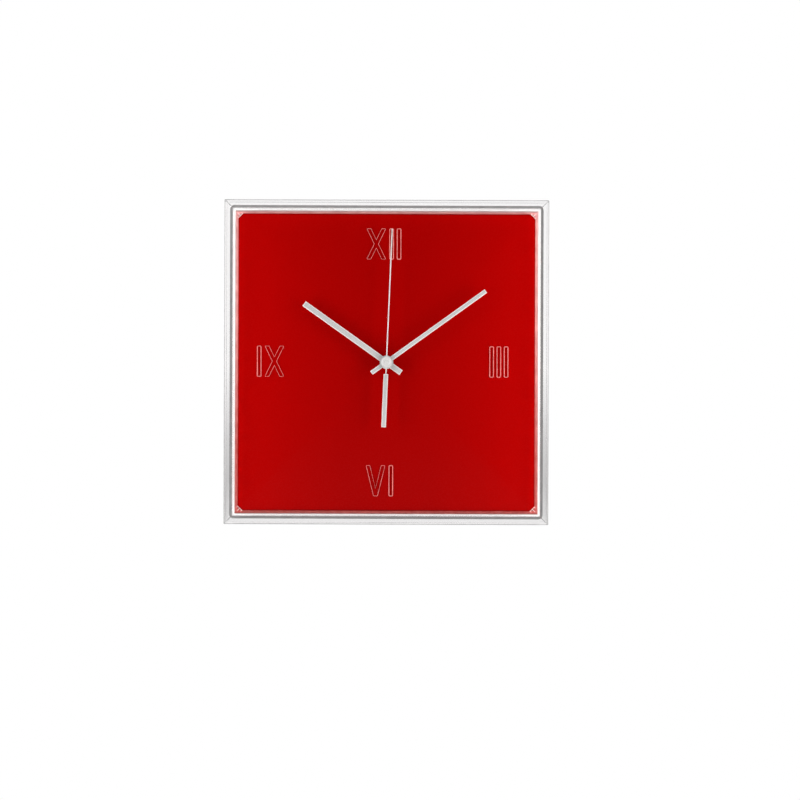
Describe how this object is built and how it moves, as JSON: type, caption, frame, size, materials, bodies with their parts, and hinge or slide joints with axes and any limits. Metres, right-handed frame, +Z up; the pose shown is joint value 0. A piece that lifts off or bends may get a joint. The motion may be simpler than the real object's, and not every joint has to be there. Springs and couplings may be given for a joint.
{
  "type": "wall clock",
  "caption": "Square clear acrylic wall clock with a red dial, raised Roman numerals, flat grey hands and a quartz movement with its gear train.",
  "frame": {"origin": "seat at the top of the movement's keyhole slot, on the wall plane, 35.5 mm above the hands' axis", "axes": "+Z up, +X to the right as the clock is read, -Y out of the wall towards the reader"},
  "size_m": [0.3, 0.042, 0.3],
  "materials": {
    "clear_acrylic": "polished clear acrylic, edges slightly grey",
    "red_acrylic": "opaque red, satin gloss",
    "hand_aluminium": "pale grey satin, brushed along the blade",
    "movement_plastic": "moulded black, finely textured",
    "gear_plastic": "moulded off-white",
    "brass": "turned brass",
    "steel": "nickel-plated steel",
    "magnet_steel": "punched magnetic steel",
    "copper_wire": "enamelled copper wire",
    "rubber": "soft black rubber",
    "circuit_laminate": "green circuit laminate",
    "chip_resin": "black resin drop",
    "battery_jacket": "printed foil sleeve with bare steel ends"
  },
  "bodies": {
    "frame": {"clear_case": "clear_acrylic", "dial_carrier": "clear_acrylic", "dial": "red_acrylic", "movement_base": "movement_plastic", "movement_cover": "movement_plastic", "gear_plate": "gear_plastic", "coil_bobbin": "gear_plastic", "threaded_bushing": "brass", "hex_nut": "brass", "carrier_screw_1": "steel", "carrier_screw_2": "steel", "carrier_screw_3": "steel", "carrier_screw_4": "steel", "steel_washer": "steel", "quartz_crystal": "steel", "positive_contact": "steel", "negative_contact": "steel", "stator": "magnet_steel", "coil_core": "magnet_steel", "coil_winding": "copper_wire", "rubber_gasket": "rubber", "circuit_board": "circuit_laminate", "timing_chip": "chip_resin", "battery": "battery_jacket"},
    "hour": {"hour_wheel": "gear_plastic", "hour_hand": "hand_aluminium"},
    "minute": {"minute_wheel": "gear_plastic", "minute_hand": "hand_aluminium"},
    "second": {"second_wheel": "gear_plastic", "second_shaft": "steel", "second_hand": "hand_aluminium", "second_hand_tube": "steel"},
    "third": {"third_wheel": "gear_plastic"},
    "intermediate": {"intermediate_wheel": "gear_plastic"},
    "rotor": {"rotor_magnet": "magnet_steel", "rotor_pinion": "gear_plastic"},
    "setting": {"motion_wheel": "gear_plastic", "setting_knob": "movement_plastic"}
  },
  "joints": [
    {"name": "minute_hand_turn", "type": "hinge", "parent": "frame", "child": "minute", "pos_m": [0, -0.0365, -0.0355], "axis": [0, 1, 0], "continuous": true},
    {"name": "hour_hand_turn", "type": "hinge", "parent": "frame", "child": "hour", "pos_m": [0, -0.0348, -0.0355], "axis": [0, 1, 0], "continuous": true},
    {"name": "second_hand_turn", "type": "hinge", "parent": "frame", "child": "second", "pos_m": [0, -0.0385, -0.0355], "axis": [0, 1, 0], "continuous": true},
    {"name": "third_wheel_turn", "type": "hinge", "parent": "frame", "child": "third", "pos_m": [-0.01076, -0.0103, -0.03644], "axis": [0, 1, 0], "continuous": true},
    {"name": "intermediate_wheel_turn", "type": "hinge", "parent": "frame", "child": "intermediate", "pos_m": [0.01064, -0.0089, -0.03362], "axis": [0, 1, 0], "continuous": true},
    {"name": "rotor_turn", "type": "hinge", "parent": "frame", "child": "rotor", "pos_m": [0.01281, -0.0068, -0.02551], "axis": [0, 1, 0], "continuous": true},
    {"name": "setting_knob_turn", "type": "hinge", "parent": "frame", "child": "setting", "pos_m": [-0.006, -0.0019, -0.02511], "axis": [0, 1, 0], "continuous": true}
  ],
  "couplings": [
    {"joint": "hour_hand_turn", "follows": "minute_hand_turn", "ratio": 0.083333},
    {"joint": "second_hand_turn", "follows": "minute_hand_turn", "ratio": 60},
    {"joint": "third_wheel_turn", "follows": "minute_hand_turn", "ratio": -8},
    {"joint": "intermediate_wheel_turn", "follows": "minute_hand_turn", "ratio": -300},
    {"joint": "rotor_turn", "follows": "minute_hand_turn", "ratio": 1800},
    {"joint": "setting_knob_turn", "follows": "minute_hand_turn", "ratio": -0.33333}
  ]
}
